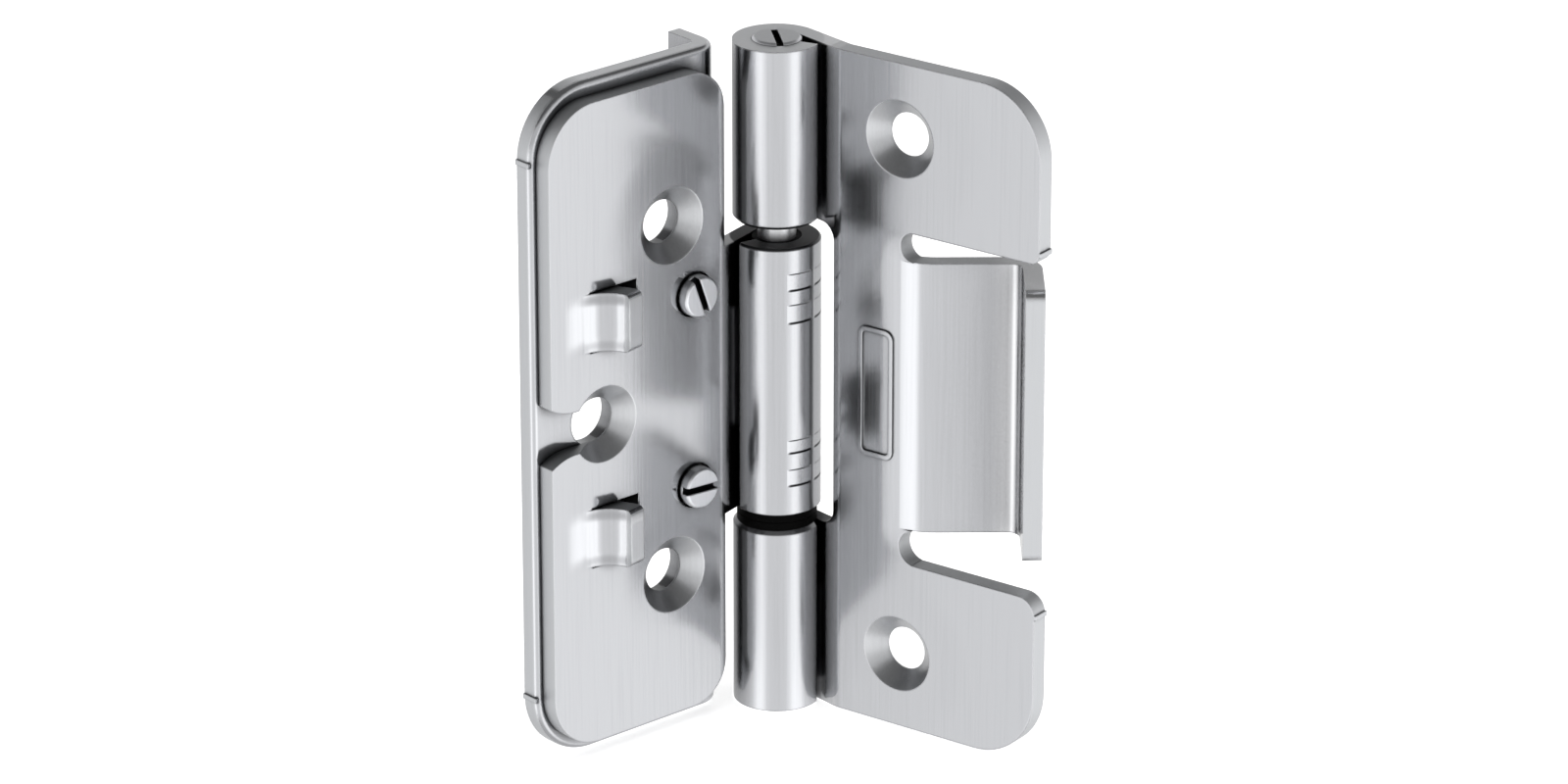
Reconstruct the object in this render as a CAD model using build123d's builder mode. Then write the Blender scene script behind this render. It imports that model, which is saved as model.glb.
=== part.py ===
from build123d import *
from math import cos, radians, sin, sqrt, tan
import os

# Butt hinge: a frame leaf with two curled knuckles, a door leaf with one, and a plate behind the door leaf.
# Millimetres, +Z up along the pin, origin on the pin's axis at the lower end of the frame leaf.
# Distances along a leaf are measured from the pin's axis, and depths from that axis towards the leaf's back.

HEIGHT = 110.0
SHEET = 3.0
BARREL_R = 6.9
BORE_R = BARREL_R - SHEET
NECK_BEND_R = 6.0
RIM_BREAK = 0.6
LEAF_ANGLE = 102.6  # between the leaves as they stand
NIB = (0.3, 0.8)  # reach and width of the sheared nibs left on the outer edges
CLEAR = 60.0  # runs out of the sheet on every side of a cut
OVERRUN = 0.5  # length by which a cut or a bent piece's root runs past an edge
NEAR = 0.01

# Frame leaf
FRAME_DEPTH = 1.4
FRAME_REACH = 47.9
FRAME_NECK_ANGLE = 14.0
FRAME_CURL = 296.0
FRAME_CORNER_R = 11.0
UPPER_KNUCKLE_Z = 81.0
LOWER_KNUCKLE_Z = 30.7
WINDOW_REACH = 9.7
WINDOW_CORNER_R = 2.7
FRAME_HOLES = [(22.1, 97.8), (22.1, 12.2)]
TAB_Z = (33.6, 78.2)
TAB_BEND_X = 25.4
TAB_BEND_ANGLE = 36.5
TAB_BEND_R = 9.0
TAB_LENGTH = 16.2
LIP_LENGTH = 12.5
LIP_BEND_R = 2.0
SLOT_END_X = 22.4
UPPER_SLOT_Z = 82.9
LOWER_SLOT_Z = 27.8
UPPER_ARM_CORNER_R = 1.6
LOWER_ARM_CORNER_R = 3.0
LIP_CORNER_R = 1.6
BEAD_CENTER = (17.95, 55.25)
BEAD_SIZE = (6.5, 21.5)
BEAD_WIDTH = 0.8
BEAD_CORNER_R = 1.5
BEAD_RISE = 0.35

# Countersunk screw holes of both leaves
HOLE_R = 3.5
SINK_R = 6.2
SINK_ANGLE = 90.0

# Door leaf
DOOR_DEPTH = 1.2
DOOR_REACH = 44.6
DOOR_NECK_ANGLE = 16.0
DOOR_CURL = 295.0
DOOR_Z = (2.3, 107.6)
DOOR_CORNER_R = 9.0
DOOR_EDGE = 9.6
DOOR_EDGE_CORNER_R = 6.8
NECK_Z = (33.3, 77.9)
DOOR_HOLES = [(-20.3, 84.0), (-20.3, 26.0), (-34.0, 55.0)]
CHANNEL_HALF = 3.5
CHANNEL_CUSP = 39.3
CHANNEL_MOUTH_HALF = 5.3
CHANNEL_FLARE_R = 9.0
TONGUE_Z = [(67.5, 77.0), (32.0, 41.5)]
TONGUE_ROOT = 38.0
TONGUE_BEND_R = 5.4
TONGUE_ANGLE = 80.0
TONGUE_CORNER_R = 1.0
LANCE_START = 36.8
LANCE_END = 27.5
LANCE_GAP = 0.25

# Back plate
PLATE_DEPTH = DOOR_DEPTH + SHEET
PLATE_REACH = 45.8
PLATE_CORNER_R = 11.0
PLATE_HOLE_R = 4.3
FLANGE_FACE = 7.4
FLANGE_BEND_R = 4.1
FLANGE_END_DEPTH = 13.4
PLATE_EDGE_R = 0.9

# Clamp screws
SCREWS = [(-15.9, 71.7, -70.0), (-15.9, 39.9, -3.0)]  # place on the leaf, and the turn of the slot
SCREW_HEAD_R = 3.3
SCREW_HEAD_HEIGHT = 3.0
SCREW_RECESS_R = 3.65
SCREW_RECESS_DEPTH = 1.0
SCREW_SHANK_R = 2.0
SCREW_HOLE_R = 2.25
SCREW_SLOT = (1.15, 1.3)
SCREW_CHAMFER = 0.3

# Pin and bushes
PIN_TOP_Z = 110.4
PIN_HEAD_R = 3.88
PIN_HEAD_Z = 84.0
PIN_R = 3.0
PIN_FOOT_Z = 1.5
PIN_FOOT_CHAMFER = 0.6
PIN_SHOULDER = 0.5
PIN_TOP_CHAMFER = 0.35
PIN_SLOT = (1.1, 1.6)
PIN_SLOT_TURN = -46.0
BUSH_BORE_R = 3.05
BUSH_R = 3.88
FLANGE_R = 6.3
UPPER_BUSH_Z = (65.9, 77.8)
LOWER_BUSH_Z = (32.05, 45.3)
LOWER_FLANGE_Z = (32.05, 33.3)
FOOT_BUSH_Z = (18.7, 31.95)
FOOT_FLANGE_Z = (30.7, 31.95)

# Face planes look at the inner face of each leaf, with the plane's x across the leaf and its y up.
door_along = Vector(1, 0, 0).rotate(Axis.Z, -LEAF_ANGLE)
door_inward = Vector(0, 1, 0).rotate(Axis.Z, -LEAF_ANGLE)
frame_face = Plane.XZ
door_face = Plane(origin=(0, 0, 0), x_dir=-door_along, z_dir=door_inward)
door_section = Plane(origin=(0, 0, 0), x_dir=door_along, z_dir=(0, 0, 1))


def curled_sheet(plane, inward, depth, reach, neck_angle, curl_angle):
    """Section of a leaf: flat, neck bent back, curl round the pin. inward is the inner face's side."""
    turn = radians(neck_angle)
    corner = (BORE_R - depth * cos(turn)) / sin(turn)
    bend_start = corner + NECK_BEND_R * tan(turn / 2)
    neck_length = sqrt(corner**2 + depth**2 - BORE_R**2) - NECK_BEND_R * tan(turn / 2)
    with BuildSketch(plane) as section:
        with BuildLine():
            ends = []
            for skin in (0, SHEET):
                level = -inward * (depth + skin)
                flat = Line((reach, level), (bend_start, level))
                bend = JernArc(flat @ 1, flat % 1, NECK_BEND_R - skin, inward * neck_angle)
                neck = Line(bend @ 1, bend @ 1 + (bend % 1) * neck_length)
                curl = JernArc(neck @ 1, neck % 1, BORE_R + skin, -inward * curl_angle)
                ends.append((flat @ 0, curl @ 1))
            Line(ends[0][0], ends[1][0])
            Line(ends[0][1], ends[1][1])
        make_face()
    return section.sketch


def across(edges, plane):
    """Edges that run straight through the sheet."""
    return edges.filter_by(Axis((0, 0, 0), plane.z_dir))


def spots(face, depth, places):
    """Places on a leaf's face, looking out of the face."""
    plane = face.offset(-depth)
    return Locations(*[plane.location * Location((place[0], place[1], 0)) for place in places])


def break_rim(leaf, level, size):
    """Breaks the outer rim of a knuckle's end."""
    rims = leaf.edges().filter_by(GeomType.CIRCLE).filter_by_position(Axis.Z, level - NEAR, level + NEAR)
    chamfer(rims.filter_by(lambda edge: abs(edge.radius - BARREL_R) < NEAR), size)


def build_frame_leaf():
    tab_turn = radians(TAB_BEND_ANGLE)
    tab_start = TAB_BEND_X - TAB_BEND_R * tan(tab_turn / 2)
    tab_end = (TAB_BEND_X + TAB_LENGTH * cos(tab_turn), FRAME_DEPTH + TAB_LENGTH * sin(tab_turn))
    lip_end = (tab_end[0] + LIP_LENGTH * sin(tab_turn), tab_end[1] - LIP_LENGTH * cos(tab_turn))
    with BuildPart() as leaf:
        add(curled_sheet(Plane.XY, -1, FRAME_DEPTH, FRAME_REACH, FRAME_NECK_ANGLE, FRAME_CURL))
        extrude(amount=HEIGHT)
        fillet(across(leaf.edges(), frame_face).group_by(Axis.X)[-1], FRAME_CORNER_R)
        # Window that the centre knuckle turns in
        with BuildSketch(frame_face):
            with Locations((WINDOW_REACH, (UPPER_KNUCKLE_Z + LOWER_KNUCKLE_Z) / 2)):
                Rectangle(CLEAR, UPPER_KNUCKLE_Z - LOWER_KNUCKLE_Z, align=(Align.MAX, Align.CENTER))
        extrude(amount=CLEAR, both=True, mode=Mode.SUBTRACT)
        inner_corners = across(leaf.edges(), frame_face).filter_by_position(
            Axis.X, WINDOW_REACH - NEAR, WINDOW_REACH + NEAR
        )
        fillet(inner_corners, WINDOW_CORNER_R)
        # Space between the arms, as high as the tab and the slots beside it
        with BuildSketch(frame_face):
            with Locations((SLOT_END_X + (UPPER_SLOT_Z - TAB_Z[1]) / 2, LOWER_SLOT_Z)):
                Rectangle(CLEAR, UPPER_SLOT_Z - LOWER_SLOT_Z, align=(Align.MIN, Align.MIN))
            with Locations((tab_start, TAB_Z[0])):
                Rectangle(CLEAR, TAB_Z[1] - TAB_Z[0], align=(Align.MIN, Align.MIN))
        extrude(amount=CLEAR, both=True, mode=Mode.SUBTRACT)
        arm_ends = across(leaf.edges(), frame_face).group_by(Axis.X)[-1]
        for level, corner_r in ((UPPER_SLOT_Z, UPPER_ARM_CORNER_R), (LOWER_SLOT_Z, LOWER_ARM_CORNER_R)):
            fillet(arm_ends.filter_by_position(Axis.Z, level - NEAR, level + NEAR), corner_r)
        # Tab bent back, and the lip bent forward at its end
        with BuildSketch(Plane.XY.offset(TAB_Z[0])):
            with BuildLine():
                root = (tab_start - OVERRUN, FRAME_DEPTH)
                front = Polyline(root, (TAB_BEND_X, FRAME_DEPTH), tab_end, lip_end)
                fillet(front.vertices().sort_by(Axis.X)[1], TAB_BEND_R)
                fillet(vertices().sort_by(Axis.X)[-2], LIP_BEND_R)
                offset(amount=SHEET, side=Side.LEFT)
            make_face()
        extrude(amount=TAB_Z[1] - TAB_Z[0])
        lip_corners = leaf.edges().filter_by(Axis((0, 0, 0), (cos(tab_turn), sin(tab_turn), 0)))
        fillet(lip_corners.group_by(Axis.Y)[0], LIP_CORNER_R)
        # Slots with round inner ends between the tab and the arms
        for low, high in ((TAB_Z[1], UPPER_SLOT_Z), (LOWER_SLOT_Z, TAB_Z[0])):
            with BuildSketch(frame_face):
                with Locations((SLOT_END_X + (high - low) / 2, (low + high) / 2)):
                    Circle((high - low) / 2)
                    Rectangle(CLEAR, high - low, align=(Align.MIN, Align.CENTER))
            extrude(amount=CLEAR, both=True, mode=Mode.SUBTRACT)
        # Nibs of the shearing, where the corners of the arms start
        nib_levels = (UPPER_SLOT_Z + UPPER_ARM_CORNER_R, LOWER_SLOT_Z - LOWER_ARM_CORNER_R)
        with BuildSketch(frame_face.offset(-FRAME_DEPTH)):
            with Locations(*[(FRAME_REACH, level) for level in nib_levels]):
                Rectangle(2 * NIB[0], NIB[1])
        extrude(amount=-SHEET)
        break_rim(leaf, UPPER_KNUCKLE_Z, RIM_BREAK)
        with spots(frame_face, FRAME_DEPTH, FRAME_HOLES):
            CounterSinkHole(HOLE_R, SINK_R, depth=SHEET, counter_sink_angle=SINK_ANGLE)
        # Raised plain frame on the inner face
        with BuildSketch(frame_face.offset(-FRAME_DEPTH)):
            with Locations(BEAD_CENTER):
                RectangleRounded(*BEAD_SIZE, BEAD_CORNER_R)
                RectangleRounded(
                    BEAD_SIZE[0] - 2 * BEAD_WIDTH,
                    BEAD_SIZE[1] - 2 * BEAD_WIDTH,
                    BEAD_CORNER_R - BEAD_WIDTH,
                    mode=Mode.SUBTRACT,
                )
        extrude(amount=BEAD_RISE)
    leaf.part.label = "frame_leaf"
    return leaf.part


def build_door_leaf():
    with BuildPart() as leaf:
        add(curled_sheet(door_section, 1, DOOR_DEPTH, DOOR_REACH, DOOR_NECK_ANGLE, DOOR_CURL))
        extrude(amount=HEIGHT)
        # Above and below the centre knuckle the leaf stops short of the barrel
        for low, high in ((0, NECK_Z[0]), (NECK_Z[1], HEIGHT)):
            with BuildSketch(door_face):
                with Locations((-DOOR_EDGE, (low + high) / 2)):
                    Rectangle(CLEAR, high - low, align=(Align.MIN, Align.CENTER))
            extrude(amount=CLEAR, both=True, mode=Mode.SUBTRACT)
        with BuildSketch(door_face):
            with Locations((0, (DOOR_Z[0] + DOOR_Z[1]) / 2)):
                Rectangle(2 * CLEAR, DOOR_Z[1] - DOOR_Z[0])
        extrude(amount=CLEAR, both=True, mode=Mode.INTERSECT)
        through = across(leaf.edges(), door_face)
        corners = through.group_by(Axis.Z)[0] + through.group_by(Axis.Z)[-1]
        sides = corners.group_by(Axis(origin=(0, 0, 0), direction=door_along))
        fillet(sides[-1], DOOR_CORNER_R)
        fillet(sides[0], DOOR_EDGE_CORNER_R)
        for level in NECK_Z:
            break_rim(leaf, level, RIM_BREAK / 2)
        # Lanced openings, and the tongues that were bent up out of them
        for low, high in TONGUE_Z:
            with BuildSketch(door_face.offset(-DOOR_DEPTH)):
                with Locations((-(LANCE_START + LANCE_END) / 2, (low + high) / 2)):
                    Rectangle(LANCE_START - LANCE_END, high - low + 2 * LANCE_GAP)
            extrude(amount=-SHEET, mode=Mode.SUBTRACT)
            with BuildSketch(door_section.offset(low)):
                with BuildLine():
                    root = Line((TONGUE_ROOT + OVERRUN, -DOOR_DEPTH), (TONGUE_ROOT, -DOOR_DEPTH))
                    JernArc(root @ 1, root % 1, TONGUE_BEND_R, -TONGUE_ANGLE)
                    offset(amount=SHEET, side=Side.LEFT)
                make_face()
            extrude(amount=high - low)
        tip_turn = radians(TONGUE_ANGLE)
        tip_corners = leaf.edges().filter_by(
            Axis((0, 0, 0), door_along * sin(tip_turn) + door_inward * cos(tip_turn))
        )
        fillet(tip_corners, TONGUE_CORNER_R)
        with spots(door_face, DOOR_DEPTH, DOOR_HOLES):
            CounterSinkHole(HOLE_R, SINK_R, depth=SHEET, counter_sink_angle=SINK_ANGLE)
        # Channel from the middle hole out through the edge, flared by two convex arcs
        with BuildSketch(door_face.offset(-DOOR_DEPTH)):
            with BuildLine(Location((DOOR_HOLES[2][0], DOOR_HOLES[2][1]))):
                cusp = DOOR_HOLES[2][0] + CHANNEL_CUSP
                mouth = DOOR_HOLES[2][0] + DOOR_REACH + OVERRUN
                upper = Line((0, CHANNEL_HALF), (-cusp, CHANNEL_HALF))
                flare = RadiusArc(upper @ 1, (-mouth, CHANNEL_MOUTH_HALF), CHANNEL_FLARE_R)
                across_mouth = Line(flare @ 1, (-mouth, -CHANNEL_MOUTH_HALF))
                back = RadiusArc(across_mouth @ 1, (-cusp, -CHANNEL_HALF), CHANNEL_FLARE_R)
                lower = Line(back @ 1, (0, -CHANNEL_HALF))
                Line(lower @ 1, upper @ 0)
            make_face()
        extrude(amount=-SHEET, mode=Mode.SUBTRACT)
        # Recessed clearance holes of the clamp screws
        with spots(door_face, DOOR_DEPTH, SCREWS):
            CounterBoreHole(
                radius=SCREW_HOLE_R,
                counter_bore_radius=SCREW_RECESS_R,
                counter_bore_depth=SCREW_RECESS_DEPTH,
                depth=SHEET,
            )
    leaf.part.label = "door_leaf"
    return leaf.part


def build_back_plate():
    with BuildPart() as plate:
        with BuildSketch(door_section):
            with BuildLine():
                front = Polyline(
                    (PLATE_REACH, -PLATE_DEPTH), (FLANGE_FACE, -PLATE_DEPTH), (FLANGE_FACE, -FLANGE_END_DEPTH)
                )
                fillet(front.vertices().group_by(Axis.X)[0].sort_by(Axis.Y)[-1], FLANGE_BEND_R)
                offset(amount=SHEET, side=Side.LEFT)
            make_face()
        extrude(amount=HEIGHT)
        through = across(plate.edges(), door_face)
        fillet(through.group_by(Axis(origin=(0, 0, 0), direction=door_along))[-1], PLATE_CORNER_R)
        front_face = plate.faces().sort_by(Axis(origin=(0, 0, 0), direction=door_inward))[-1]
        fillet(front_face.outer_wire().edges(), PLATE_EDGE_R)
        # Nibs of the shearing, where the round corners start
        with BuildSketch(door_face.offset(-PLATE_DEPTH)):
            with Locations((-PLATE_REACH, HEIGHT - PLATE_CORNER_R), (-PLATE_REACH, PLATE_CORNER_R)):
                Rectangle(2 * NIB[0], NIB[1])
        extrude(amount=-SHEET)
        with spots(door_face, PLATE_DEPTH, DOOR_HOLES):
            Hole(radius=PLATE_HOLE_R, depth=SHEET)
        with spots(door_face, PLATE_DEPTH, SCREWS):
            Hole(radius=SCREW_SHANK_R, depth=SHEET)
    plate.part.label = "back_plate"
    return plate.part


def build_clamp_screws():
    seat = door_face.offset(-DOOR_DEPTH - SCREW_RECESS_DEPTH)
    with BuildPart() as screws:
        for x, z, turn in SCREWS:
            screw_plane = Plane(seat.location * Location((x, z, 0)))
            with BuildSketch(screw_plane):
                Circle(SCREW_HEAD_R)
            head = extrude(amount=SCREW_HEAD_HEIGHT)
            rims = head.edges().filter_by(GeomType.CIRCLE)
            chamfer(rims.sort_by(Axis((0, 0, 0), door_inward))[-1], SCREW_CHAMFER)
            with BuildSketch(screw_plane):
                Circle(SCREW_SHANK_R)
            extrude(amount=-(2 * SHEET - SCREW_RECESS_DEPTH))
            with BuildSketch(screw_plane.offset(SCREW_HEAD_HEIGHT)):
                Rectangle(2 * SCREW_RECESS_R, SCREW_SLOT[0], rotation=turn)
            extrude(amount=-SCREW_SLOT[1], mode=Mode.SUBTRACT)
    screws.part.label = "clamp_screws"
    return screws.part


def build_hinge_pin():
    with BuildPart() as pin:
        with BuildSketch(Plane.XZ):
            with BuildLine():
                Polyline(
                    (0, PIN_FOOT_Z),
                    (PIN_R - PIN_FOOT_CHAMFER, PIN_FOOT_Z),
                    (PIN_R, PIN_FOOT_Z + PIN_FOOT_CHAMFER),
                    (PIN_R, PIN_HEAD_Z),
                    (PIN_HEAD_R, PIN_HEAD_Z + PIN_SHOULDER),
                    (PIN_HEAD_R, PIN_TOP_Z - PIN_TOP_CHAMFER),
                    (PIN_HEAD_R - PIN_TOP_CHAMFER, PIN_TOP_Z),
                    (0, PIN_TOP_Z),
                    close=True,
                )
            make_face()
        revolve(axis=Axis.Z)
        with BuildSketch(Plane.XY.offset(PIN_TOP_Z)):
            Rectangle(2 * BARREL_R, PIN_SLOT[0], rotation=PIN_SLOT_TURN)
        extrude(amount=-PIN_SLOT[1], mode=Mode.SUBTRACT)
    pin.part.label = "hinge_pin"
    return pin.part


def build_bush(label, bush_z, flange_z=None):
    """Plastic bush in a knuckle's bore, with a flange between two knuckles where flange_z is given."""
    with BuildPart() as bush:
        rings = [(bush_z, BUSH_R)]
        if flange_z:
            rings.append((flange_z, FLANGE_R))
        for (low, high), radius in rings:
            with BuildSketch(Plane.XY.offset(low)):
                Circle(radius)
                Circle(BUSH_BORE_R, mode=Mode.SUBTRACT)
            extrude(amount=high - low)
    bush.part.label = label
    return bush.part


pieces = [
    build_frame_leaf(),
    build_door_leaf(),
    build_back_plate(),
    build_clamp_screws(),
    build_hinge_pin(),
    build_bush("upper_bush", UPPER_BUSH_Z),
    build_bush("lower_bush", LOWER_BUSH_Z, LOWER_FLANGE_Z),
    build_bush("pin_foot_bush", FOOT_BUSH_Z, FOOT_FLANGE_Z),
]

os.makedirs("parts", exist_ok=True)
for piece in pieces:
    export_step(piece, f"parts/{piece.label}.step")
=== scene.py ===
from collections import namedtuple
from math import cos, pi, radians, sin

import bmesh
import bpy
from bpy.props import FloatProperty, FloatVectorProperty, PointerProperty
from bpy.types import Operator, Panel, PropertyGroup
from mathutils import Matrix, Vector

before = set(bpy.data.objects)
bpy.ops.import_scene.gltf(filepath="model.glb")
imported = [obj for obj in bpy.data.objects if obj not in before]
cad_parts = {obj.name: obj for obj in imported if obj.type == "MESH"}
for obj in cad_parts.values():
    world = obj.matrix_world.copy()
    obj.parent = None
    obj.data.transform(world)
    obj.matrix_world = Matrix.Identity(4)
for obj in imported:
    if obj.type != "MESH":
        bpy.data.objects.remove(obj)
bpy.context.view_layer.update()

bl_info = {
    "name": "Plated butt hinge",
    "version": (1, 0, 0),
    "blender": (4, 5, 0),
    "location": "3D View > Sidebar > Hinge",
    "description": "Finishes a folded butt hinge in bright plated steel and sets its studio",
    "category": "Object",
}


# Directions in which the door leaf and the tab lie, turned upright from the frame leaf's own.
DOOR_TURN = radians(-102.6)
TAB_TURN = radians(36.5)
UP = (0.0, 0.0, 1.0)

# Places on a leaf, in metres: how far along it from the pin's axis, and how high.
FRAME_HOLES = ((0.0221, 0.0978), (0.0221, 0.0122))
DOOR_HOLES = ((0.0203, 0.084), (0.0203, 0.026), (0.034, 0.055))
CLAMP_SCREWS = ((0.0159, 0.0717), (0.0159, 0.0399))

# Heights between which something lies, in metres.
TAB_HEIGHTS = (0.034, 0.078)
TROUGH_HEIGHTS = (0.0335, 0.0783)
TONGUE_HEIGHTS = ((0.0345, 0.0390), (0.0700, 0.0745))
LOWER_KNUCKLE_TOP = (0.0300, 0.0310)
PIN_SLOT_HEIGHTS = (0.108, 0.1099)
PIN_NECK_HEIGHTS = (0.0772, 0.0815)

# Distances between which something grows or fades, in metres.
CENTRE_KNUCKLE_TOP = (0.0774, 0.0777)
KNUCKLE_ROUND = (0.00707, 0.00748)
PIN_SLOT_ROUND = (0.00324, 0.00339)
NECK_END = (0.0100, 0.0108)
LOWER_TOP_END = (0.0095, 0.0105)
LEAF_START = (0.0085, 0.009)
PLATE_RIM = (0.040, 0.041)
HOLE_MOUTH = (0.0062, 0.0064)
HEAD_ROUND = (0.0031, 0.0032)
HEAD_SLOT = (0.00045, 0.0006)
FRAME_DISHES = ((0.006, 0.016), (0.006, 0.014))
DOOR_DISHES = ((0.006, 0.014), (0.0055, 0.011))
ROLL_OFF = (0.009, 0.030)
SHOULDER = (0.0185, 0.025)
TROUGH = (0.0320, 0.0365)
LIP_END = (-0.0256, -0.0252)
TONGUE_ROOT = (0.0272, 0.0278)
TONGUE_SLOPE = (0.0365, 0.042)
TONGUE_LIFT = (0.0018, 0.0022)
TONGUE_TIP = (0.025, 0.026)

# Heights and depths of the relief, in metres.
DISH_DEPTH = 0.00006
ROLL_OFF_DEPTH = 0.0003
SHOULDER_DEPTH = 0.00023
ROOT_HEIGHT = 0.0005
SPECK_HEIGHT = 0.00002
RIM_RADIUS = 0.00035

# The flats coined into the centre knuckle. Each row has its heights, and each flat its middle and half its
# width in degrees, and its depth.
MARK_ROWS = ((0.0385, 0.0410), (0.0440, 0.0459), (0.0657, 0.0685), (0.0711, 0.0736))
MARK_FLATS = ((-21.0, 19.5, 0.0002), (17.0, 16.0, 0.00015))
MARK_LEDGE = 0.0002
MARK_LIP = 0.0001

# How squarely a face has to look along a direction: the limits between which it starts to count.
SQUARE = (0.9, 0.95)
TIP_SQUARE = (0.8, 0.9)
CONE_SQUARE = (0.72, 0.76)
EDGE_SQUARE = (0.3, 0.4)

# Shares, from 0 to 1: of the cut edges' dullness, of painted shade and shadow, and of the painted light that
# a corner keeps.
CONE_DULL = 0.5
TIP_DULL = 0.6
PAINTED_SHADE_STRENGTH = 0.97
LEDGE_SHADE = 0.5
LOWER_TOP_SHADOW = 0.85
CENTRE_TOP_SHADOW = 0.8
FRAME_NECK_LIGHT = 0.25
DOOR_NECK_LIGHT = 0.5
TROUGH_LIGHT = 0.4
TIP_LIGHT = 0.3
PIN_NECK_LIGHT = 0.6
BRUSHING_SHADE = 0.16

# Roughness that each thing adds to the steel's own.
BRUSHING_ROUGH = 0.05
SPECK_ROUGH = 0.03
KNUCKLE_ROUGH = 0.08
CUT_ROUGH = 0.33

# Colours of the metal where it isn't the plain plated face, of its painted shade and painted light, and of
# the bushes.
# The near-black that painted shade in gaps, slots, corners and shadowed tops darkens the steel towards.
PAINTED_SHADE_BLACK = (0.004, 0.004, 0.005, 1.0)
END_STEEL = (0.77, 0.78, 0.795, 1.0)
EDGE_STEEL = (0.53, 0.54, 0.555, 1.0)
# The near-white that painted light on the necks, the trough, the tongue tips and the pin's neck lightens the
# steel towards.
PAINTED_LIGHT_STEEL = (0.95, 0.95, 0.96, 1.0)
BUSH_BLACK = (0.0015, 0.0015, 0.0015, 1.0)

# Painted shade by the surroundings, in gaps and inner corners: its reach in metres, how open a place is where
# it is full and where it is gone, and its darkest level.
SHEET_GAP_SHADE = (0.003, 0.32, 0.88, 0.12)
SHEET_CORNER_SHADE = (0.04, 0.25, 0.95, 0.28)
TURNED_GAP_SHADE = (0.0012, 0.55, 0.8, 0.05)
TURNED_CORNER_SHADE = (0.04, 0.25, 0.95, 0.9)

# Noise: its scale, detail and stretch.
BRUSHING = (2600.0, 3.0, (1.0, 1.0, 0.02))
WAVES = (30.0, 1.0, (1.0, 1.0, 0.6))
SPECKS = (5000.0, 1.0)
MOULD_TEXTURE = (3000.0, 2.0)

# The studio cards: compass angles in degrees, and levels that are divided by the brightest one's.
CARDS = (
    (-234, 0.50), (-196, 0.45), (-150, 0.55), (-126, 0.72), (-118, 0.85), (-112, 1.2),
    (-92, 1.25), (-82, 0.80), (-70, 0.74), (-34, 0.74), (-22, 0.90), (-12, 1.25),
    (12, 1.25), (21, 0.95), (29, 0.84), (60, 0.74), (90, 0.60), (126, 0.50),
)
BRIGHTEST_CARD = 1.25
CARD_STRENGTH = 2.18
CARD_SEAM = -234.0
FULL_TURN = 360.0
DEGREES = 180.0 / pi

# Where the table, the cards and the sky meet, from -1 straight down to 1 straight up, and the sky's levels.
TABLE_RISE = (-0.90, -0.60)
CARD_RISE = (-0.20, 0.15)
SKY_RISE = (0.42, 0.62)
SKY_LEVELS = (0.40, 0.08)
TABLE_GREY = (0.36, 0.36, 0.36, 1.0)
WHITE = (1.0, 1.0, 1.0, 1.0)

FLOOR_HALF = 6.0
FLOOR_DROP = 0.0002
FLOOR_WHITE = (0.95, 0.95, 0.95, 1.0)
FLOOR_GLOW = 0.6
LAMP_SIZE = 1.6
LAMP_PLACE = (0.1, -0.1, 1.5)
CAMERA_PITCH = radians(21.897)
CAMERA_TURN = radians(35.9)
CAMERA_TARGET = Vector((0.00090, 0.00065, 0.05161))
SENSOR_WIDTH = 36.0
CLIP = (0.05, 50.0)


class Value:
    """A shader socket that arithmetic can be written with: each operation adds its node to the same tree."""

    def __init__(self, tree, socket):
        self.tree = tree
        self.socket = socket

    def _math(self, operation, *operands):
        return self.tree.node("ShaderNodeMath", {"operation": operation}, dict(enumerate(operands))).out()

    def __add__(self, other):
        return self._math("ADD", self, other)

    __radd__ = __add__

    def __sub__(self, other):
        return self._math("SUBTRACT", self, other)

    def __rsub__(self, other):
        return self._math("SUBTRACT", other, self)

    def __mul__(self, other):
        return self._math("MULTIPLY", self, other)

    __rmul__ = __mul__

    def __truediv__(self, other):
        return self._math("DIVIDE", self, other)

    def __rtruediv__(self, other):
        return self._math("DIVIDE", other, self)

    def __pow__(self, other):
        return self._math("POWER", self, other)

    def __rpow__(self, other):
        return self._math("POWER", other, self)

    def __abs__(self):
        return self._math("ABSOLUTE", self)

    def at_least(self, other):
        return self._math("MAXIMUM", self, other)

    def angle_from(self, other):
        return self._math("ARCTAN2", self, other)

    def ramp(self, low, high, to_low=0.0, to_high=1.0, kind="SMOOTHSTEP"):
        """Step from to_low at low to to_high at high, smooth unless the kind says otherwise."""
        return self.tree.node(
            "ShaderNodeMapRange",
            {"interpolation_type": kind},
            {"Value": self, "From Min": low, "From Max": high, "To Min": to_low, "To Max": to_high},
        ).out()

    def fade(self, low, high, level=1.0):
        """The level up to low, and nothing from high on."""
        return self.ramp(low, high, level, 0.0)

    def within(self, low, high, soft):
        """One between low and high, with soft sides outside them."""
        return self.ramp(low - soft, low) * self.fade(high, high + soft)


class Node:
    """One node of a tree, with its outputs as values."""

    def __init__(self, tree, node):
        self.tree = tree
        self.node = node

    def out(self, name=0):
        return Value(self.tree, self.node.outputs[name])


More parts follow.
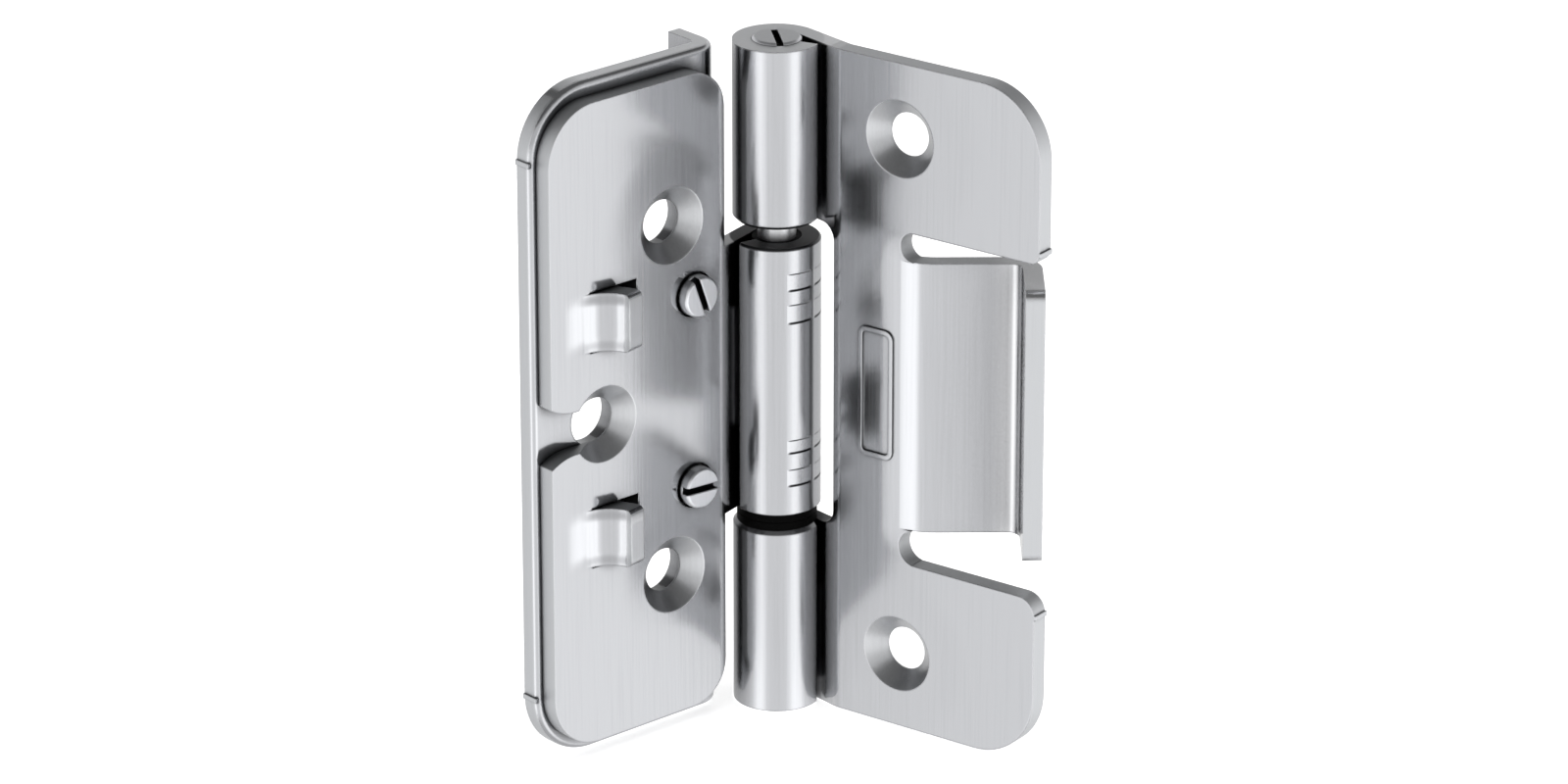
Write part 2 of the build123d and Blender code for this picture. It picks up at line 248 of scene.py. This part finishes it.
class Tree:
    """A node tree that is filled through one method."""

    def __init__(self, owner):
        owner.use_nodes = True
        self.tree = owner.node_tree
        self.tree.nodes.clear()

    def node(self, kind, settings=None, sockets=None, stops=()):
        """Adds a node, with its settings and a ramp's stops first, and then its sockets' values and links."""
        node = self.tree.nodes.new(kind)
        for name, value in (settings or {}).items():
            setattr(node, name, value)
        if stops:
            self.set_stops(node.color_ramp.elements, stops)
        for name, value in (sockets or {}).items():
            if isinstance(value, Value):
                self.tree.links.new(value.socket, node.inputs[name])
            else:
                node.inputs[name].default_value = value
        return Node(self, node)

    def set_stops(self, elements, stops):
        """Gives a new ramp, which has two stops, its own: pairs of place and grey level."""
        for position, level in stops[1:-1]:
            elements.new(position).color = (level, level, level, 1.0)
        for element, (position, level) in ((elements[0], stops[0]), (elements[-1], stops[-1])):
            element.position = position
            element.color = (level, level, level, 1.0)

    def point(self):
        """The point in the object's own space."""
        return self.node("ShaderNodeTexCoord").out("Object")

    def parts(self, vector):
        """The three coordinates of a vector."""
        split = self.node("ShaderNodeSeparateXYZ", sockets={"Vector": vector})
        return split.out("X"), split.out("Y"), split.out("Z")

    def facing(self, direction):
        """How squarely the surface faces along a direction of the object's space, or against it."""
        normal = self.node("ShaderNodeTexCoord").out("Normal")
        product = self.node("ShaderNodeVectorMath", {"operation": "DOT_PRODUCT"}, {0: normal, 1: direction})
        return abs(product.out("Value"))

    def painted_occlusion_shade(self, reach, closed, open, darkest):
        """Painted shade in slots, gaps and inner corners, by how far the surroundings close them in."""
        open_sky = self.node("ShaderNodeAmbientOcclusion", {"samples": 8}, {"Distance": reach}).out("AO")
        return open_sky.ramp(closed, open, darkest, 1.0)

    def noise(self, point, scale, detail, stretch=(1.0, 1.0, 1.0)):
        """Noise over a stretched copy of the point."""
        mapped = self.node("ShaderNodeMapping", {}, {"Vector": point, "Scale": stretch}).out()
        return self.node("ShaderNodeTexNoise", {}, {"Vector": mapped, "Scale": scale, "Detail": detail}).out()

    def mix(self, factor, first, second):
        """A colour between two others."""
        sockets = {"Factor": factor, "A": first, "B": second}
        return self.node("ShaderNodeMix", {"data_type": "RGBA"}, sockets).out("Result")


# What a piece's form adds to plain steel: the height of its face over a true surface in metres, and, from
# 0 to 1, how far a face is sawn or turned, how deep the painted shade on it is, and how much painted light
# lifts it and keeps it light in a corner.
Form = namedtuple("Form", "height edge dark lit", defaults=(0.0, 0.0, 0.0, 0.0))


def finish_node(name, material):
    """Puts a material on a CAD node."""
    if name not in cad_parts:
        raise RuntimeError(f"the frame has no node named {name}")
    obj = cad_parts[name]
    obj.data.materials.clear()
    obj.data.materials.append(material)


def along(x, y, turn):
    """How far a point lies from the pin's axis in a direction turned from the frame leaf's."""
    return x * cos(turn) + y * sin(turn)


def aside(x, y, turn):
    """How far a point lies to the left of that direction."""
    return y * cos(turn) - x * sin(turn)


def outward(turn):
    """The direction square to a face that lies in that direction."""
    return (-sin(turn), cos(turn), 0.0)


def distance(across, up, center):
    """How far a point of a leaf's face is from a place on it."""
    return ((across - center[0]) ** 2.0 + (up - center[1]) ** 2.0) ** 0.5


def near_axis(x, y, radii):
    """How far a point lies inside a round about the pin's axis, which ends between two radii."""
    return (x * x + y * y).fade(radii[0] ** 2, radii[1] ** 2)


def knuckle(x, y):
    """How far a point is on the round of a knuckle."""
    return near_axis(x, y, KNUCKLE_ROUND)


def neck(x, y, across):
    """How far a point of a leaf is on the neck between its flat and its knuckle."""
    return (1.0 - knuckle(x, y)) * across.fade(*NECK_END)


def dishes(across, z, holes, rings):
    """Height of the sheet round its first screw holes, which are dished a little, one for each ring."""
    return sum(distance(across, z, hole).ramp(*ring) * DISH_DEPTH for hole, ring in zip(holes, rings))


def sinks(tree, across, z, holes, turn):
    """How far a point of a leaf is on the turned cone of a screw hole."""
    cone = tree.facing(outward(turn)).fade(*CONE_SQUARE)
    return cone * sum(distance(across, z, hole).fade(*HOLE_MOUTH) for hole in holes)


def cut_edge(tree, across, turn, start):
    """How far a face is the cut edge of a sheet: it stands square to the sheet, and past the start."""
    return tree.facing(outward(turn)).fade(*EDGE_SQUARE) * across.ramp(*start)


def frame_leaf_form(tree, x, y, z):
    """The frame leaf rolls off towards its knuckles and the tab, and its lip ends in a sawn face."""
    roll_off = x.ramp(*ROLL_OFF, 1.0, 0.0, "LINEAR") ** 2.0 * ROLL_OFF_DEPTH
    shoulder = x.ramp(*SHOULDER) * z.within(*TAB_HEIGHTS, 0.005) * SHOULDER_DEPTH
    height = dishes(x, z, FRAME_HOLES, FRAME_DISHES) - roll_off - shoulder

    lip_end = tree.facing(outward(TAB_TURN)).ramp(*SQUARE) * aside(x, y, TAB_TURN).fade(*LIP_END)
    cones = sinks(tree, x, z, FRAME_HOLES, 0.0)
    edge = cut_edge(tree, x, 0.0, LEAF_START).at_least(lip_end).at_least(cones * CONE_DULL)

    # Painted shadow on the top of the lower knuckle, under the centre knuckle.
    lower_knuckle_top = tree.facing(UP).ramp(*SQUARE) * z.within(*LOWER_KNUCKLE_TOP, 0.0003)
    dark = lower_knuckle_top * x.fade(*LOWER_TOP_END, LOWER_TOP_SHADOW)

    # Painted light on the neck by the knuckles and in the tab's trough, but not on the lip's end.
    trough = along(x, y, TAB_TURN).ramp(*TROUGH) * z.within(*TROUGH_HEIGHTS, 0.0002)
    lit = neck(x, y, x) * FRAME_NECK_LIGHT + trough * (1.0 - lip_end) * TROUGH_LIGHT
    return Form(height, edge, dark, lit)


def coined_marks(x, y, z):
    """Depth of the flats coined into the centre knuckle, and the painted shade along their ledges."""
    around = y.angle_from(x) * DEGREES
    flats = sum(
        (1.0 - ((around - middle) / half_width) ** 2.0).at_least(0.0) * depth
        for middle, half_width, depth in MARK_FLATS
    ) * knuckle(x, y)
    pressed = flats * sum(z.within(low, high, MARK_LEDGE) for low, high in MARK_ROWS)
    # Painted shade along the lower ledge of each row of flats, and half as much along its upper lip.
    ledges = sum(
        z.within(low - MARK_LEDGE, low, MARK_LEDGE) + z.within(high, high + MARK_LIP, MARK_LIP) * LEDGE_SHADE
        for low, high in MARK_ROWS
    )
    return pressed, ledges * flats.ramp(0.0, MARK_LIP)


def door_leaf_form(tree, x, y, z):
    """The door leaf rises at the roots of its tongues, whose ends are sawn, and its knuckle is coined."""
    across = along(x, y, DOOR_TURN)
    rise = across.ramp(*TONGUE_ROOT) * across.fade(*TONGUE_SLOPE, ROOT_HEIGHT)
    roots = rise * sum(z.within(*heights, 0.003) for heights in TONGUE_HEIGHTS)
    pressed, ledges = coined_marks(x, y, z)
    height = dishes(across, z, DOOR_HOLES, DOOR_DISHES) + roots - pressed

    bent_up = aside(x, y, DOOR_TURN).ramp(*TONGUE_LIFT) * across.ramp(*TONGUE_TIP)
    tip = tree.facing(outward(DOOR_TURN)).ramp(*TIP_SQUARE) * bent_up
    cones = sinks(tree, across, z, DOOR_HOLES, DOOR_TURN)
    sawn = cut_edge(tree, across, DOOR_TURN, LEAF_START).at_least(tip * TIP_DULL)
    edge = sawn.at_least(cones * CONE_DULL)

    # Painted shadow on the top of the centre knuckle, under the upper knuckle, added to the ledges' painted
    # shade.
    knuckle_top = z.ramp(*CENTRE_KNUCKLE_TOP) * knuckle(x, y)
    dark = ledges + knuckle_top * CENTRE_TOP_SHADOW
    # Painted light on the neck by the centre knuckle and on the tongues' tips.
    lit = neck(x, y, across) * DOOR_NECK_LIGHT + tip * TIP_LIGHT
    return Form(height, edge, dark, lit)


def back_plate_form(tree, x, y, z):
    """The back plate is plain, and only its outer rim is a cut edge."""
    return Form(edge=cut_edge(tree, along(x, y, DOOR_TURN), DOOR_TURN, PLATE_RIM))


def turned_form(tree, x, y, z):
    """The pin and the clamp screws have slots with painted shade, and the pin's neck has painted light."""
    across = along(x, y, DOOR_TURN)
    heads = sum(distance(across, z, screw).fade(*HEAD_ROUND) for screw in CLAMP_SCREWS)
    head_slots = heads * aside(x, y, DOOR_TURN).fade(*HEAD_SLOT)
    pin_slot = near_axis(x, y, PIN_SLOT_ROUND) * z.within(*PIN_SLOT_HEIGHTS, 0.0002)
    pin_neck = z.within(*PIN_NECK_HEIGHTS, 0.0005)
    # The slots get painted shade, and the pin's neck painted light.
    return Form(dark=head_slots + pin_slot, lit=pin_neck * PIN_NECK_LIGHT)


def plated_steel(name, form, tint, roughness, wave, grain, gaps, corners):
    """Bright plated steel: upright brushing, faint waves, rounded rims, dull cut faces and satin knuckles."""
    material = bpy.data.materials.new(name)
    tree = Tree(material)
    point = tree.point()
    x, y, z = tree.parts(point)
    brushing = tree.noise(point, *BRUSHING)
    waves = tree.noise(point, *WAVES)
    specks = tree.noise(point, *SPECKS)
    shape = form(tree, x, y, z)
    cut = tree.facing(UP).ramp(*SQUARE).at_least(shape.edge)
    height = brushing * grain + waves * wave + shape.height + specks * cut * SPECK_HEIGHT
    rounded = tree.node("ShaderNodeBevel", {"samples": 4}, {"Radius": RIM_RADIUS}).out()
    bump = {"Height": height, "Strength": 1.0, "Distance": 1.0, "Normal": rounded}
    # Painted shade in gaps and corners, kept up where the form paints light.
    occlusion_shade = (tree.painted_occlusion_shade(*gaps) * tree.painted_occlusion_shade(*corners)).at_least(shape.lit)
    # The form's painted shade darkens it more, and the brushing streaks vary the steel's own tone.
    shade = occlusion_shade * (1.0 - shape.dark * PAINTED_SHADE_STRENGTH) * (1.0 + (brushing - 0.5) * BRUSHING_SHADE)
    sawn = tree.mix(shape.edge, END_STEEL, EDGE_STEEL)
    # Painted light lifts the colour towards near-white steel.
    steel = tree.mix(shape.lit, tree.mix(cut, (*tint, 1.0), sawn), PAINTED_LIGHT_STEEL)
    rough = roughness + brushing * BRUSHING_ROUGH + specks * SPECK_ROUGH + knuckle(x, y) * KNUCKLE_ROUGH
    shader = tree.node(
        "ShaderNodeBsdfPrincipled",
        {},
        {
            # The colour sinks towards near-black where the painted shade is deep.
            "Base Color": tree.mix(shade, PAINTED_SHADE_BLACK, steel),
            "Metallic": 1.0,
            "Roughness": rough + cut * CUT_ROUGH,
            "Normal": tree.node("ShaderNodeBump", {}, bump).out(),
        },
    ).out()
    tree.node("ShaderNodeOutputMaterial", {}, {"Surface": shader})
    return material


def black_plastic(name):
    """Matte moulded black plastic with a fine spark-eroded texture."""
    material = bpy.data.materials.new(name)
    tree = Tree(material)
    texture = tree.noise(tree.point(), *MOULD_TEXTURE)
    bump = {"Height": texture, "Strength": 0.25, "Distance": 0.0002}
    shader = tree.node(
        "ShaderNodeBsdfPrincipled",
        {},
        {
            "Base Color": BUSH_BLACK,
            "Roughness": 0.55 + texture * 0.1,
            "Specular IOR Level": 0.03,
            "Normal": tree.node("ShaderNodeBump", {}, bump).out(),
        },
    ).out()
    tree.node("ShaderNodeOutputMaterial", {}, {"Surface": shader})
    return material


class HingeSettings(PropertyGroup):
    roughness: FloatProperty(
        name="Roughness",
        description="Roughness of the plated steel",
        default=0.10,
        min=0.0,
        max=1.0,
        subtype="FACTOR",
    )
    tint: FloatVectorProperty(
        name="Steel colour",
        description="Colour of the plated steel",
        default=(0.45, 0.456, 0.472),
        min=0.0,
        max=1.0,
        subtype="COLOR",
    )
    turned_roughness: FloatProperty(
        name="Turned roughness",
        description="Roughness that the pin and the clamp screws have over the sheets",
        default=0.15,
        min=0.0,
        max=1.0,
        subtype="FACTOR",
    )
    turned_lightness: FloatProperty(
        name="Turned lightness",
        description="How many times lighter the pin and the clamp screws are than the sheets",
        default=1.5,
        min=0.0,
        max=2.0,
    )
    grain: FloatProperty(
        name="Grain height",
        description="Height of the upright brushing",
        default=0.0000025,
        min=0.0,
        soft_max=0.0001,
        unit="LENGTH",
    )
    wave: FloatProperty(
        name="Wave height",
        description="Height of the rolled sheet's waves",
        default=0.00003,
        min=0.0,
        soft_max=0.001,
        unit="LENGTH",
    )
    camera_distance: FloatProperty(
        name="Camera distance",
        description="Distance from the camera to the point it looks at",
        default=1.0986,
        min=0.1,
        unit="LENGTH",
    )
    lens: FloatProperty(
        name="Lens",
        description="Focal length of the camera, in millimetres",
        default=161.55,
        min=10.0,
        unit="CAMERA",
    )
    key_power: FloatProperty(
        name="Key power",
        description="Power of the lamp over the hinge",
        default=14.0,
        min=0.0,
        unit="POWER",
    )


class HINGE_OT_sheet_metal(Operator):
    """Finish the two leaves and the back plate"""

    bl_idname = "hinge.sheet_metal"
    bl_label = "Finish sheet metal"

    def execute(self, context):
        s = context.scene.hinge
        forms = {"frame_leaf": frame_leaf_form, "door_leaf": door_leaf_form, "back_plate": back_plate_form}
        for name, form in forms.items():
            steel = plated_steel(
                f"plated {name}", form, s.tint, s.roughness, s.wave, s.grain, SHEET_GAP_SHADE, SHEET_CORNER_SHADE
            )
            finish_node(name, steel)
        return {"FINISHED"}


class HINGE_OT_turned_parts(Operator):
    """Finish the pin and the clamp screws"""

    bl_idname = "hinge.turned_parts"
    bl_label = "Finish turned parts"

    def execute(self, context):
        s = context.scene.hinge
        tint = [level * s.turned_lightness for level in s.tint]
        roughness = s.roughness + s.turned_roughness
        turned = plated_steel(
            "turned steel", turned_form, tint, roughness, 0.0, s.grain, TURNED_GAP_SHADE, TURNED_CORNER_SHADE
        )
        finish_node("hinge_pin", turned)
        finish_node("clamp_screws", turned)
        return {"FINISHED"}


class HINGE_OT_bushes(Operator):
    """Finish the plastic bushes"""

    bl_idname = "hinge.bushes"
    bl_label = "Finish bushes"

    def execute(self, context):
        plastic = black_plastic("black plastic")
        for name in ("upper_bush", "lower_bush", "pin_foot_bush"):
            finish_node(name, plastic)
        return {"FINISHED"}


class HINGE_OT_stage(Operator):
    """Set the floor, the surroundings, the lamp and the camera"""

    bl_idname = "hinge.stage"
    bl_label = "Set stage"

    def execute(self, context):
        self.floor(context)
        self.surroundings(context)
        self.lamp(context)
        self.camera(context)
        context.scene.view_settings.view_transform = "Standard"
        return {"FINISHED"}

    def floor(self, context):
        """A pale floor that keeps the hinge's shadow and that metal doesn't mirror."""
        mesh = bpy.data.meshes.new("floor")
        grid = bmesh.new()
        bmesh.ops.create_grid(grid, x_segments=1, y_segments=1, size=FLOOR_HALF)
        grid.to_mesh(mesh)
        grid.free()
        floor = bpy.data.objects.new("floor", mesh)
        floor.location.z = -FLOOR_DROP
        floor.visible_shadow = False
        context.collection.objects.link(floor)
        material = bpy.data.materials.new("white floor")
        tree = Tree(material)
        path = tree.node("ShaderNodeLightPath")
        sheet = tree.node("ShaderNodeBsdfDiffuse", {}, {"Color": FLOOR_WHITE}).out()
        glow = tree.node("ShaderNodeEmission", {}, {"Strength": FLOOR_GLOW}).out()
        paper = tree.node("ShaderNodeAddShader", {}, {0: sheet, 1: glow}).out()
        clear = tree.node("ShaderNodeBsdfTransparent").out()
        layers = {"Fac": path.out("Is Glossy Ray"), 1: paper, 2: clear}
        seen = tree.node("ShaderNodeMixShader", {}, layers).out()
        tree.node("ShaderNodeOutputMaterial", {}, {"Surface": seen})
        mesh.materials.append(material)

    def surroundings(self, context):
        """Studio cards all round, as bright and dark bands by compass angle, over a pale table."""
        world = bpy.data.worlds.new("studio")
        context.scene.world = world
        tree = Tree(world)
        east, north, rise = tree.parts(tree.node("ShaderNodeTexCoord").out("Generated"))
        compass = north.angle_from(east) * DEGREES
        limits = {0: compass, 1: CARD_SEAM + FULL_TURN, 2: CARD_SEAM}
        turned = tree.node("ShaderNodeMath", {"operation": "WRAP"}, limits).out()
        around = (turned - CARD_SEAM) / FULL_TURN
        stops = [((angle - CARD_SEAM) / FULL_TURN, level / BRIGHTEST_CARD) for angle, level in CARDS]
        cards = tree.node("ShaderNodeValToRGB", {}, {"Fac": around}, stops).out("Color")
        lower = tree.mix(rise.ramp(*TABLE_RISE), TABLE_GREY, cards)
        tent = tree.mix(rise.ramp(*CARD_RISE), lower, rise.ramp(*SKY_RISE, *SKY_LEVELS))
        path = tree.node("ShaderNodeLightPath")
        glow = tree.node("ShaderNodeBackground", {}, {"Color": tent, "Strength": CARD_STRENGTH}).out()
        paper = tree.node("ShaderNodeBackground", {}, {"Color": WHITE, "Strength": 1.0}).out()
        layers = {"Fac": path.out("Is Camera Ray"), 1: glow, 2: paper}
        seen = tree.node("ShaderNodeMixShader", {}, layers).out()
        tree.node("ShaderNodeOutputWorld", {}, {"Surface": seen})

    def lamp(self, context):
        """A wide lamp overhead, which metal doesn't mirror."""
        light = bpy.data.lights.new("overhead", "AREA")
        light.shape = "SQUARE"
        light.size = LAMP_SIZE
        light.energy = context.scene.hinge.key_power
        overhead = bpy.data.objects.new("overhead", light)
        overhead.location = LAMP_PLACE
        overhead.visible_glossy = False
        context.collection.objects.link(overhead)

    def camera(self, context):
        """The camera at the photo's viewing angle."""
        s = context.scene.hinge
        camera = bpy.data.cameras.new("camera")
        camera.sensor_width = SENSOR_WIDTH
        camera.lens = s.lens
        camera.clip_start, camera.clip_end = CLIP
        eye = bpy.data.objects.new("camera", camera)
        flat = cos(CAMERA_PITCH)
        back = Vector((sin(CAMERA_TURN) * flat, -cos(CAMERA_TURN) * flat, sin(CAMERA_PITCH)))
        eye.location = CAMERA_TARGET + back * s.camera_distance
        eye.rotation_euler = (-back).to_track_quat("-Z", "Y").to_euler()
        context.collection.objects.link(eye)
        context.scene.camera = eye


class HINGE_PT_panel(Panel):
    """Hinge settings in the sidebar"""

    bl_idname = "HINGE_PT_panel"
    bl_label = "Hinge"
    bl_space_type = "VIEW_3D"
    bl_region_type = "UI"
    bl_category = "Hinge"

    def draw(self, context):
        for name in HingeSettings.__annotations__:
            self.layout.prop(context.scene.hinge, name)
        for operator in OPERATORS:
            self.layout.operator(operator.bl_idname)


OPERATORS = (HINGE_OT_sheet_metal, HINGE_OT_turned_parts, HINGE_OT_bushes, HINGE_OT_stage)
CLASSES = (HingeSettings,) + OPERATORS + (HINGE_PT_panel,)


def register():
    for cls in CLASSES:
        bpy.utils.register_class(cls)
    bpy.types.Scene.hinge = PointerProperty(type=HingeSettings)


def unregister():
    del bpy.types.Scene.hinge
    for cls in reversed(CLASSES):
        bpy.utils.unregister_class(cls)


def main():
    register()
    bpy.ops.hinge.sheet_metal()
    bpy.ops.hinge.turned_parts()
    bpy.ops.hinge.bushes()
    bpy.ops.hinge.stage()


if __name__ == "__main__":
    main()
